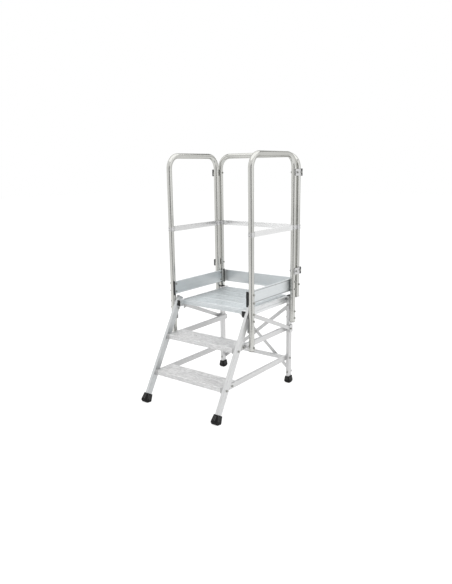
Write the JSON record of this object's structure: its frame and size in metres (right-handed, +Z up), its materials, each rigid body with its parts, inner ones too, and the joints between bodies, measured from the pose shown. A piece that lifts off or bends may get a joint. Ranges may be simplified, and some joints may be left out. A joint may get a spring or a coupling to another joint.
{
  "type": "podium step",
  "caption": "Aluminium podium step with ribbed treads up to a guarded platform: tubular hoops, mid rails, toe boards and hook latches at the rear corners.",
  "frame": {"origin": "on the floor, under the middle of the whole outline", "axes": "+Z up, +X to the right of someone climbing, +Y away from them towards the rear hoop"},
  "size_m": [0.8234, 1.0784, 1.852],
  "materials": {
    "frame_aluminium": "satin mill finish, drawn along the length",
    "tread_aluminium": "satin extrusion with ribs",
    "deck_aluminium": "matt extrusion with ribs",
    "rail_aluminium": "satin extrusion",
    "brace_aluminium": "mill finish flat bar",
    "bright_tube": "bright drawn tube",
    "zinc_steel": "zinc plated",
    "black_plastic": "moulded, matt",
    "grey_plastic": "moulded, matt",
    "foot_rubber": "moulded rubber, matt"
  },
  "bodies": {
    "podium": {"left_stile": "frame_aluminium", "right_stile": "frame_aluminium", "stile_caps": "frame_aluminium", "left_front_foot": "foot_rubber", "right_front_foot": "foot_rubber", "left_rear_foot": "foot_rubber", "right_rear_foot": "foot_rubber", "left_rear_leg": "frame_aluminium", "right_rear_leg": "frame_aluminium", "leg_caps": "black_plastic", "left_lower_bar": "frame_aluminium", "left_upper_bar": "frame_aluminium", "right_lower_bar": "frame_aluminium", "right_upper_bar": "frame_aluminium", "bar_plugs": "grey_plastic", "left_brace": "brace_aluminium", "right_brace": "brace_aluminium", "leg_brackets": "frame_aluminium", "rear_cross_bar": "frame_aluminium", "rear_brace_inner": "brace_aluminium", "rear_brace_outer": "brace_aluminium", "brace_washers": "zinc_steel", "lower_tread": "tread_aluminium", "upper_tread": "tread_aluminium", "left_deck_beam": "deck_aluminium", "right_deck_beam": "deck_aluminium", "beam_plugs": "black_plastic", "deck_gussets": "frame_aluminium", "deck_front_plank": "deck_aluminium", "deck_second_plank": "deck_aluminium", "deck_third_plank": "deck_aluminium", "deck_rear_plank": "deck_aluminium", "left_hoop": "bright_tube", "right_hoop": "bright_tube", "rear_hoop": "bright_tube", "post_plugs": "grey_plastic", "left_mid_rail": "rail_aluminium", "right_mid_rail": "rail_aluminium", "rear_mid_rail": "rail_aluminium", "mid_rail_clamps": "bright_tube", "left_toe_board": "rail_aluminium", "right_toe_board": "rail_aluminium", "rear_toe_board": "rail_aluminium", "toe_board_caps": "black_plastic", "front_post_saddles": "grey_plastic", "rear_post_saddles": "grey_plastic", "post_standoffs": "frame_aluminium", "rear_hoop_seats": "frame_aluminium", "latch_pivots": "zinc_steel", "latch_studs": "zinc_steel", "frame_bolts": "zinc_steel", "guard_bolts": "zinc_steel"},
    "left_lower_latch_arm": {"left_lower_latch": "frame_aluminium", "left_lower_grip": "black_plastic"},
    "left_upper_latch_arm": {"left_upper_latch": "frame_aluminium", "left_upper_grip": "black_plastic"},
    "right_lower_latch_arm": {"right_lower_latch": "frame_aluminium", "right_lower_grip": "black_plastic"},
    "right_upper_latch_arm": {"right_upper_latch": "frame_aluminium", "right_upper_grip": "black_plastic"}
  },
  "joints": [
    {"name": "left_lower_latch_swing", "type": "hinge", "parent": "podium", "child": "left_lower_latch_arm", "pos_m": [-0.4013, 0.51772, 0.939], "axis": [-1, 0, 0], "range_deg": [0, 100]},
    {"name": "left_upper_latch_swing", "type": "hinge", "parent": "podium", "child": "left_upper_latch_arm", "pos_m": [-0.4013, 0.51772, 1.698], "axis": [-1, 0, 0], "range_deg": [0, 100]},
    {"name": "right_lower_latch_swing", "type": "hinge", "parent": "podium", "child": "right_lower_latch_arm", "pos_m": [0.4013, 0.45772, 0.939], "axis": [1, 0, 0], "range_deg": [0, 100]},
    {"name": "right_upper_latch_swing", "type": "hinge", "parent": "podium", "child": "right_upper_latch_arm", "pos_m": [0.4013, 0.45772, 1.698], "axis": [1, 0, 0], "range_deg": [0, 100]}
  ]
}
